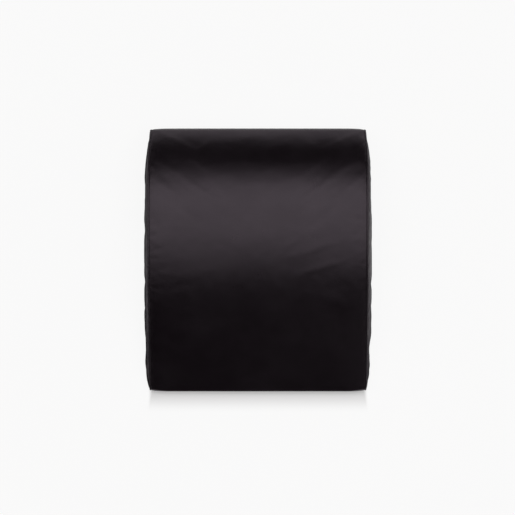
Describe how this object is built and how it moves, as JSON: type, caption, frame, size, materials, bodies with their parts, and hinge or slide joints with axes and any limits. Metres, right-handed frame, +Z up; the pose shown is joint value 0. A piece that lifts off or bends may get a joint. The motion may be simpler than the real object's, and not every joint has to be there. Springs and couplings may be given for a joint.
{
  "type": "ab mat",
  "caption": "Arched abdominal exercise mat: a foam wedge rising from a thin front edge to a broad crest, in a piped vinyl cover with bulging sides and a rear zip.",
  "frame": {"origin": "on the floor, at the middle of the base panel's underside", "axes": "+X to the mat's right side, +Y to its thick rear end, +Z up"},
  "size_m": [0.3172, 0.37, 0.07],
  "materials": {
    "foam": "matte",
    "vinyl": "satin",
    "grip_base": "matte",
    "piping": "satin",
    "zip_tape": "matte",
    "zip_plastic": "satin",
    "slider_enamel": "satin"
  },
  "bodies": {
    "mat": {"foam_core": "foam", "top_panel": "vinyl", "base_panel": "grip_base", "side_panel_left": "vinyl", "side_panel_right": "vinyl", "front_end_panel": "vinyl", "rear_upper_strip": "vinyl", "rear_lower_strip": "vinyl", "piping_left": "piping", "piping_right": "piping", "zip_end_tab_left": "vinyl", "zip_end_tab_right": "vinyl", "zip_tape_upper": "zip_tape", "zip_tape_lower": "zip_tape", "zip_teeth_upper": "zip_plastic", "zip_teeth_lower": "zip_plastic", "zip_top_stop_upper": "zip_plastic", "zip_top_stop_lower": "zip_plastic", "zip_bottom_stop": "zip_plastic"},
    "slider": {"zip_slider": "slider_enamel"},
    "pull_tab": {"zip_pull_tab": "slider_enamel"}
  },
  "joints": [
    {"name": "zip_slide", "type": "slide", "parent": "mat", "child": "slider", "axis": [-1, 0, 0], "range_m": [0, 0.238], "deforming": ["zip_teeth_upper", "zip_teeth_lower"]},
    {"name": "pull_tab_hinge", "type": "hinge", "parent": "slider", "child": "pull_tab", "pos_m": [0.1193, 0.1831, 0.01336], "axis": [0, 0, -1], "range_deg": [0, 170]}
  ]
}
